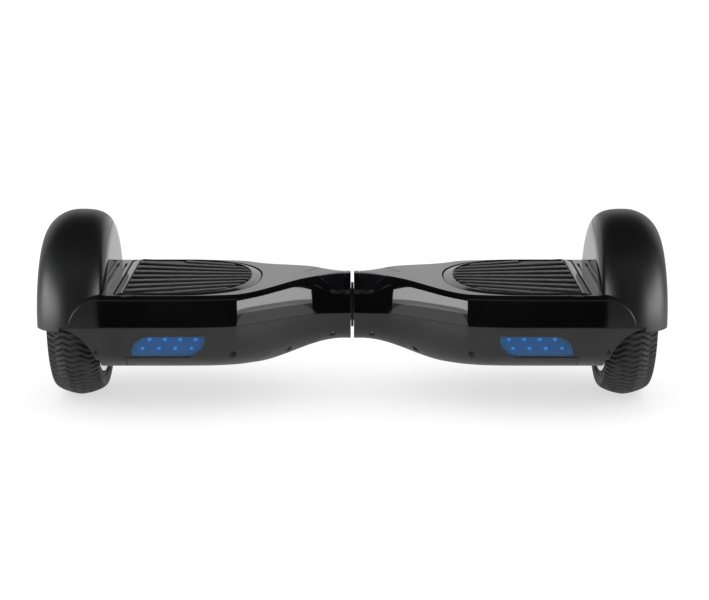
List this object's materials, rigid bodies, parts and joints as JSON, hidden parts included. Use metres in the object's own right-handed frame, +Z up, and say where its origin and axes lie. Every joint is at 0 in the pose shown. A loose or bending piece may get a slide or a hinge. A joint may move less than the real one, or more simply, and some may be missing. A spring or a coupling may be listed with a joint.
{
  "type": "self balancing hoverboard",
  "caption": "Self balancing board: two twisting half decks with ribbed foot mats, fendered hub motor wheels and blue lamp lenses.",
  "frame": {"origin": "on the ground under the middle of the board, between the two halves", "axes": "+X along the board to the rider's half with the charge socket, -Y to the front with the lamps, +Z up"},
  "size_m": [0.5878, 0.1878, 0.1788],
  "materials": {
    "gloss_shell": "high gloss black injection-moulded shell",
    "matte_shell": "dark grey satin moulded shell",
    "indicator_panel": "smoked black indicator window",
    "lens_blue": "translucent blue lamp lens",
    "mat_rubber": "black ribbed non-slip rubber",
    "tyre_rubber": "black solid tyre rubber",
    "cast_aluminium": "plain die-cast aluminium",
    "silver_cover": "silver satin hub cover",
    "steel": "turned steel",
    "magnet": "plated magnet segments on a ring",
    "winding": "laminated core wound with copper wire",
    "board_green": "green circuit board",
    "battery_wrap": "blue wrapped cell pack in a thin metal case",
    "bush_polymer": "black engineering polymer",
    "cable_jacket": "black cable jacket"
  },
  "bodies": {
    "left_half": {"left_upper_shell": "gloss_shell", "left_lower_shell": "matte_shell", "left_top_panel": "indicator_panel", "left_led_lens": "lens_blue", "left_led_board": "board_green", "left_chassis": "cast_aluminium", "left_axle_clamp": "cast_aluminium", "left_clamp_bolt_front": "steel", "left_clamp_bolt_rear": "steel", "left_pivot_bush": "bush_polymer", "left_indicator_board": "board_green", "left_sensor_board": "board_green", "left_axle": "steel", "left_stator": "winding", "center_shaft": "steel", "circlip": "steel", "thrust_washer": "bush_polymer", "harness": "cable_jacket", "control_board": "board_green", "heat_sink": "cast_aluminium"},
    "right_half": {"right_upper_shell": "gloss_shell", "right_lower_shell": "matte_shell", "right_top_panel": "indicator_panel", "right_led_lens": "lens_blue", "right_led_board": "board_green", "right_chassis": "cast_aluminium", "right_axle_clamp": "cast_aluminium", "right_clamp_bolt_front": "steel", "right_clamp_bolt_rear": "steel", "right_pivot_bush": "bush_polymer", "right_indicator_board": "board_green", "right_sensor_board": "board_green", "right_axle": "steel", "right_stator": "winding", "stop_screw": "steel", "battery_pack": "battery_wrap", "charge_socket": "bush_polymer", "power_switch": "bush_polymer"},
    "left_wheel": {"left_tyre": "tyre_rubber", "left_rim": "cast_aluminium", "left_hub_cap": "silver_cover", "left_rotor_cover": "silver_cover", "left_magnet_ring": "magnet", "left_inner_bearing": "steel", "left_outer_bearing": "steel"},
    "right_wheel": {"right_tyre": "tyre_rubber", "right_rim": "cast_aluminium", "right_hub_cap": "silver_cover", "right_rotor_cover": "silver_cover", "right_magnet_ring": "magnet", "right_inner_bearing": "steel", "right_outer_bearing": "steel"},
    "left_mat": {"left_foot_mat": "mat_rubber", "left_plunger_front": "bush_polymer", "left_plunger_rear": "bush_polymer"},
    "right_mat": {"right_foot_mat": "mat_rubber", "right_plunger_front": "bush_polymer", "right_plunger_rear": "bush_polymer"},
    "power_button": {"power_button": "matte_shell"},
    "charge_cap": {"charge_cap": "mat_rubber"}
  },
  "joints": [
    {"name": "body_twist", "type": "hinge", "parent": "left_half", "child": "right_half", "pos_m": [0, 0, 0.0865], "axis": [1, 0, 0], "range_deg": [-15, 15]},
    {"name": "left_wheel_spin", "type": "hinge", "parent": "left_half", "child": "left_wheel", "pos_m": [-0.2607, 0, 0.085], "axis": [1, 0, 0], "continuous": true},
    {"name": "right_wheel_spin", "type": "hinge", "parent": "right_half", "child": "right_wheel", "pos_m": [0.2607, 0, 0.085], "axis": [1, 0, 0], "continuous": true},
    {"name": "left_mat_press", "type": "slide", "parent": "left_half", "child": "left_mat", "axis": [0, 0, -1], "range_m": [0, 0.0012], "stiffness_N_per_m": 15000},
    {"name": "right_mat_press", "type": "slide", "parent": "right_half", "child": "right_mat", "axis": [0, 0, -1], "range_m": [0, 0.0012], "stiffness_N_per_m": 15000},
    {"name": "power_button_press", "type": "slide", "parent": "right_half", "child": "power_button", "axis": [0, -1, 0], "range_m": [0, 0.0012], "stiffness_N_per_m": 1500},
    {"name": "charge_cap_hinge", "type": "hinge", "parent": "right_half", "child": "charge_cap", "pos_m": [0.1862, 0.0921, 0.072], "axis": [0, 0, -1], "range_deg": [0, 90]}
  ]
}
